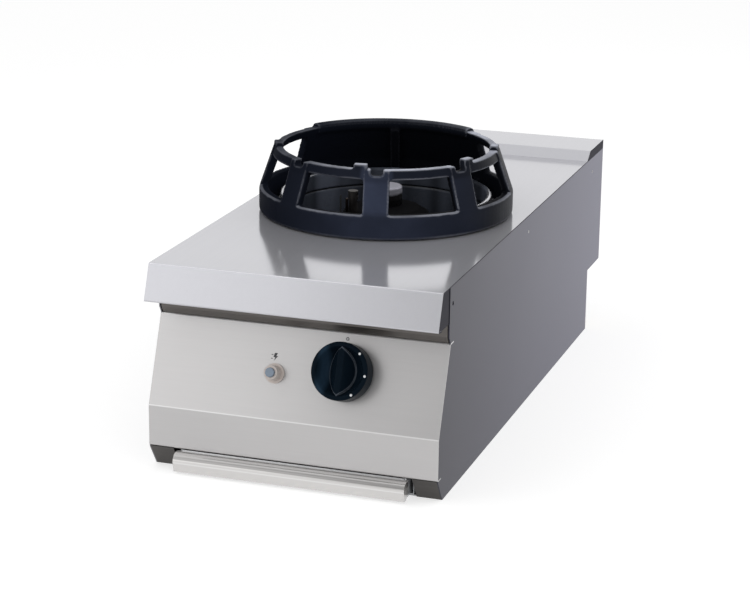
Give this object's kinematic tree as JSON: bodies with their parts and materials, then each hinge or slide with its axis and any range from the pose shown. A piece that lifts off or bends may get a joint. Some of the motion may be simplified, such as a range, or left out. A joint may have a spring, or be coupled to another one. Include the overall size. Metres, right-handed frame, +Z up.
{
  "type": "wok range",
  "caption": "Countertop gas wok range: open cast-iron ring over a burner well, sloping control panel with a push-and-turn knob and spark button, and a drip tray that slides out.",
  "frame": {"origin": "middle of the flat base, on the surface that the range stands on", "axes": "+Z up, -Y towards the user at the control panel, +X to the right seen from the front"},
  "size_m": [0.4, 0.906, 0.3815],
  "materials": {
    "stainless": "brushed",
    "galvanised": "satin",
    "tray_steel": "satin",
    "cast_iron": "enamelled, semi-gloss",
    "enamel": "gloss",
    "burner_iron": "matt",
    "cap_chrome": "polished",
    "brass": "turned",
    "zinc": "plated",
    "copper": "drawn",
    "ceramic": "glazed",
    "lead_rubber": "matt",
    "knob_black": "semi-gloss",
    "mark_white": "printed",
    "mark_dark": "printed",
    "igniter_grey": "satin",
    "igniter_black": "matt",
    "button_grey": "satin"
  },
  "bodies": {
    "chassis": {"air_shutter": "zinc", "base_front_rail": "stainless", "base_pan": "galvanised", "bracket_screws": "zinc", "burner_body": "burner_iron", "burner_bowl": "enamel", "burner_bracket": "galvanised", "control_panel": "stainless", "front_rail": "stainless", "gas_injector": "brass", "gas_inlet": "zinc", "gas_valve": "brass", "igniter_body": "igniter_black", "igniter_housing": "igniter_grey", "igniter_nut": "zinc", "ignition_lead": "lead_rubber", "injector_holder": "zinc", "injector_rail": "galvanised", "inlet_locknut": "zinc", "manifold_pipe": "zinc", "mixing_tube": "burner_iron", "panel_marks": "mark_dark", "pilot_bracket": "galvanised", "pilot_burner": "cap_chrome", "pilot_tube": "copper", "pipe_clips": "galvanised", "rear_panel_lower": "galvanised", "rear_panel_upper": "galvanised", "rear_screws": "zinc", "side_panel_left": "stainless", "side_panel_right": "stainless", "side_screws": "zinc", "spark_electrode": "ceramic", "supply_pipe": "zinc", "thermocouple": "copper", "thermocouple_lead": "copper", "tray_runner_left": "galvanised", "tray_runner_right": "galvanised", "upstand": "stainless", "valve_bracket": "galvanised", "valve_nut": "brass", "worktop": "stainless", "worktop_collar": "stainless"},
    "tray": {"drip_tray": "tray_steel", "tray_handle": "stainless"},
    "wok_ring": {"wok_ring": "cast_iron"},
    "burner_crown": {"burner_crown": "burner_iron"},
    "burner_cap": {"burner_cap": "cap_chrome"},
    "spindle_push": {"spindle_washer": "zinc"},
    "knob": {"knob": "knob_black", "knob_marks": "mark_white", "valve_spindle": "zinc"},
    "igniter_button": {"igniter_button": "button_grey"}
  },
  "joints": [
    {"name": "tray_slide", "type": "slide", "parent": "chassis", "child": "tray", "axis": [0, -1, 0], "range_m": [0, 0.45]},
    {"name": "ring_lift", "type": "slide", "parent": "chassis", "child": "wok_ring", "axis": [0, 0, 1], "range_m": [0, 0.12]},
    {"name": "crown_lift", "type": "slide", "parent": "chassis", "child": "burner_crown", "axis": [0, 0, 1], "range_m": [0, 0.1]},
    {"name": "cap_lift", "type": "slide", "parent": "burner_crown", "child": "burner_cap", "axis": [0, 0, 1], "range_m": [0, 0.05]},
    {"name": "knob_push", "type": "slide", "parent": "chassis", "child": "spindle_push", "axis": [0, 0.9318, -0.363], "range_m": [0, 0.003], "stiffness_N_per_m": 1500},
    {"name": "knob_turn", "type": "hinge", "parent": "spindle_push", "child": "knob", "pos_m": [0.066, -0.39079, 0.15577], "axis": [0, -0.9318, 0.363], "range_deg": [0, 145]},
    {"name": "igniter_push", "type": "slide", "parent": "chassis", "child": "igniter_button", "axis": [0, 0.9318, -0.363], "range_m": [0, 0.0045], "stiffness_N_per_m": 800}
  ]
}
